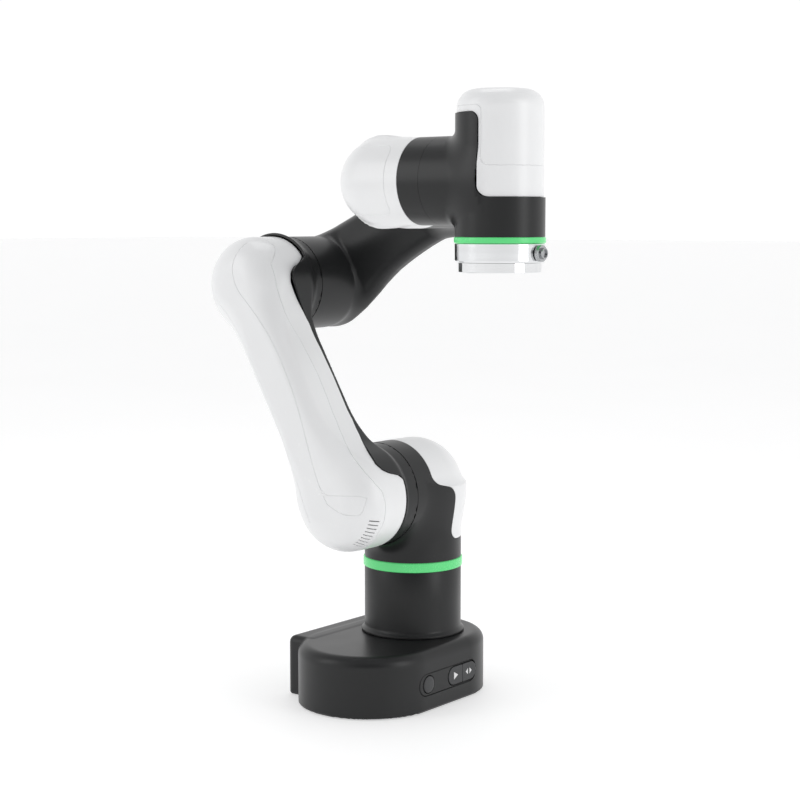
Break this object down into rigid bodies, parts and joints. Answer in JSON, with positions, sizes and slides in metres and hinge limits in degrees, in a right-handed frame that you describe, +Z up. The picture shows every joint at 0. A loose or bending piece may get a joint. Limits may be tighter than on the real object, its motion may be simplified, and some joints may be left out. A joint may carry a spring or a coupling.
{
  "type": "desktop robot arm",
  "caption": "Desktop six-axis robot arm with offset links, charcoal castings, white covers, green light rings and a round tool flange.",
  "frame": {"origin": "on the base joint's axis, at the underside of the base plate", "axes": "+Z up along the base joint's axis; +X forwards, from the connector side of the base to its button side; +Y the robot's left"},
  "size_m": [0.3368, 0.1945, 0.5002],
  "materials": {
    "charcoal_casting": "satin",
    "white_shell": "satin",
    "light_ring": "gloss",
    "port_metal": "satin",
    "bright_alloy": "polished",
    "connector_metal": "satin",
    "black_plastic": "matte",
    "button_plastic": "satin",
    "circuit_board": "matte",
    "motor_winding": "satin",
    "module_steel": "satin",
    "zinc_steel": "satin",
    "base_plate_alloy": "matte"
  },
  "bodies": {
    "base": {"base_casting": "charcoal_casting", "base_plate": "base_plate_alloy", "base_screw_1": "zinc_steel", "base_screw_2": "zinc_steel", "base_screw_3": "zinc_steel", "base_screw_4": "zinc_steel", "rear_connector_panel": "black_plastic", "power_inlet": "port_metal", "network_ports": "port_metal", "signal_port": "black_plastic", "button_panel": "charcoal_casting", "control_board": "circuit_board", "column": "charcoal_casting", "base_light_ring": "light_ring", "j1_drive_board": "circuit_board", "j1_motor": "motor_winding", "j1_gear": "module_steel"},
    "power_button": {"power_button": "button_plastic"},
    "run_button": {"run_button": "button_plastic"},
    "mode_button": {"mode_button": "button_plastic"},
    "shoulder": {"shoulder_casting": "charcoal_casting", "shoulder_rear_cap": "white_shell", "j1_output_flange": "module_steel", "j2_drive_board": "circuit_board", "j2_motor": "motor_winding", "j2_gear": "module_steel"},
    "upper_arm": {"upper_arm_casting": "charcoal_casting", "upper_arm_cover": "white_shell", "j2_output_flange": "module_steel", "j3_output_flange": "module_steel"},
    "forearm": {"forearm_casting": "charcoal_casting", "elbow_rear_cap": "charcoal_casting", "forearm_rear_cap": "charcoal_casting", "j3_drive_board": "circuit_board", "j3_motor": "motor_winding", "j3_gear": "module_steel", "j4_drive_board": "circuit_board", "j4_motor": "motor_winding", "j4_gear": "module_steel"},
    "wrist_1": {"wrist_1_casting": "charcoal_casting", "wrist_1_cover": "white_shell", "j4_output_flange": "module_steel", "j5_drive_board": "circuit_board", "j5_motor": "motor_winding", "j5_gear": "module_steel"},
    "wrist_2": {"wrist_2_casting": "charcoal_casting", "wrist_2_cover": "white_shell", "wrist_light_ring": "light_ring", "j5_output_flange": "module_steel", "j6_drive_board": "circuit_board", "j6_motor": "motor_winding", "j6_gear": "module_steel"},
    "tool_flange": {"tool_flange_body": "bright_alloy", "tool_plate": "bright_alloy", "tool_connector": "connector_metal", "j6_output_flange": "module_steel"}
  },
  "joints": [
    {"name": "j1_base_yaw", "type": "hinge", "parent": "base", "child": "shoulder", "pos_m": [0, 0, 0.1], "axis": [0, 0, 1], "range_deg": [-360, 360]},
    {"name": "j2_shoulder", "type": "hinge", "parent": "shoulder", "child": "upper_arm", "pos_m": [0, -0.0481, 0.176], "axis": [0, 1, 0], "range_deg": [-105, 165]},
    {"name": "j3_elbow", "type": "hinge", "parent": "upper_arm", "child": "forearm", "pos_m": [-0.1, -0.0481, 0.3492], "axis": [0, -1, 0], "range_deg": [-50, 244]},
    {"name": "j4_wrist_1", "type": "hinge", "parent": "forearm", "child": "wrist_1", "pos_m": [0.04549, -0.042, 0.43321], "axis": [0, 1, 0], "range_deg": [-160, 95]},
    {"name": "j5_wrist_2", "type": "hinge", "parent": "wrist_1", "child": "wrist_2", "pos_m": [0.10469, -0.098, 0.43321], "axis": [1, 0, 0], "range_deg": [-173, 173]},
    {"name": "j6_tool", "type": "hinge", "parent": "wrist_2", "child": "tool_flange", "pos_m": [0.15659, -0.098, 0.38621], "axis": [0, 0, -1], "range_deg": [-360, 360]},
    {"name": "power_button_press", "type": "slide", "parent": "base", "child": "power_button", "axis": [-1, 0, 0], "range_m": [0, 0.0012], "stiffness_N_per_m": 900, "springref_m": -0.0005},
    {"name": "run_button_press", "type": "slide", "parent": "base", "child": "run_button", "axis": [-1, 0, 0], "range_m": [0, 0.0012], "stiffness_N_per_m": 900, "springref_m": -0.0005},
    {"name": "mode_button_press", "type": "slide", "parent": "base", "child": "mode_button", "axis": [-1, 0, 0], "range_m": [0, 0.0012], "stiffness_N_per_m": 900, "springref_m": -0.0005}
  ]
}
